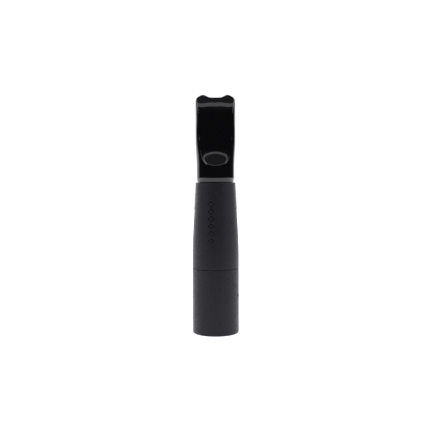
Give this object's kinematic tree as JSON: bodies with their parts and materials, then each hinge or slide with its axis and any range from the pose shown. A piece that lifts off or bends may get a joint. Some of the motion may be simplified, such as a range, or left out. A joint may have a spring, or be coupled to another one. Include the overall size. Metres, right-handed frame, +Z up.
{
  "type": "vaporizer mouthpiece and heater section",
  "caption": "Pen vaporizer top section: a scooped flat mouthpiece on a tapered sleeve over a pull-out heating chamber, with a magnetic battery socket underneath.",
  "frame": {"origin": "centre of the base shell's bottom face, on the common axis", "axes": "+Z up along the common axis to the mouthpiece's lip; the wide scooped faces look to -Y (front) and +Y; the side air hole points 18 degrees forward of +X"},
  "size_m": [0.014, 0.014, 0.0714],
  "materials": {
    "soft_touch_coat": "satin soft-touch lacquer over aluminium",
    "gloss_black": "polished moulding",
    "nickel_plate": "bright nickel plate on brass",
    "magnet_nickel": "nickel-plated magnet",
    "peek_natural": "machined",
    "gold_plate": "thin gold plate",
    "spring_steel": "drawn wire",
    "silicone_clear": "moulded, translucent",
    "silicone_black": "moulded",
    "stainless_turned": "fine turned",
    "keeper_steel": "turned, zinc plated",
    "brass": "turned",
    "alumina": "fired ceramic",
    "quartz": "fused, fire polished",
    "resistance_wire": "drawn wire, darkened"
  },
  "bodies": {
    "base": {"base_shell": "soft_touch_coat", "connector_body": "nickel_plate", "battery_magnet": "magnet_nickel", "contact_insulator": "peek_natural", "contact_barrel": "gold_plate", "contact_spring": "spring_steel"},
    "plunger": {"contact_pin": "gold_plate"},
    "cartridge_seal": {"cartridge_o_ring": "silicone_clear"},
    "cartridge": {"chamber": "stainless_turned", "keeper_ring": "keeper_steel", "chamber_base": "brass", "pin_insulator": "peek_natural", "cartridge_pin": "gold_plate", "positive_terminal": "brass", "heat_dish": "alumina", "heater_rods": "quartz", "heater_coils": "resistance_wire"},
    "collar_seals": {"collar_o_rings": "silicone_clear"},
    "sleeve": {"outer_sleeve": "soft_touch_coat", "sleeve_magnet": "magnet_nickel", "sleeve_liner": "stainless_turned", "splash_screen": "stainless_turned", "chamber_gasket": "silicone_black"},
    "tip_seals": {"tip_o_rings": "silicone_black"},
    "tip": {"mouthpiece_tip": "gloss_black", "tip_insert": "stainless_turned"}
  },
  "joints": [
    {"name": "contact_press", "type": "slide", "parent": "base", "child": "plunger", "axis": [0, 0, 1], "range_m": [0, 0.00045], "stiffness_N_per_m": 300, "springref_m": -0.0005, "deforming": ["contact_spring"]},
    {"name": "cartridge_pull", "type": "slide", "parent": "base", "child": "cartridge_seal", "axis": [0, 0, 1], "range_m": [0, 0.018]},
    {"name": "cartridge_turn", "type": "hinge", "parent": "cartridge_seal", "child": "cartridge", "pos_m": [0, 0, 0.0178], "axis": [0, 0, 1], "continuous": true},
    {"name": "sleeve_turn", "type": "hinge", "parent": "cartridge", "child": "collar_seals", "pos_m": [0, 0, 0.023], "axis": [0, 0, 1], "continuous": true},
    {"name": "sleeve_lift", "type": "slide", "parent": "collar_seals", "child": "sleeve", "axis": [0, 0, 1], "range_m": [0, 0.01]},
    {"name": "tip_pull", "type": "slide", "parent": "sleeve", "child": "tip_seals", "axis": [0, 0, 1], "range_m": [0, 0.009]},
    {"name": "tip_turn", "type": "hinge", "parent": "tip_seals", "child": "tip", "pos_m": [0, 0, 0.042], "axis": [0, 0, 1], "continuous": true}
  ]
}
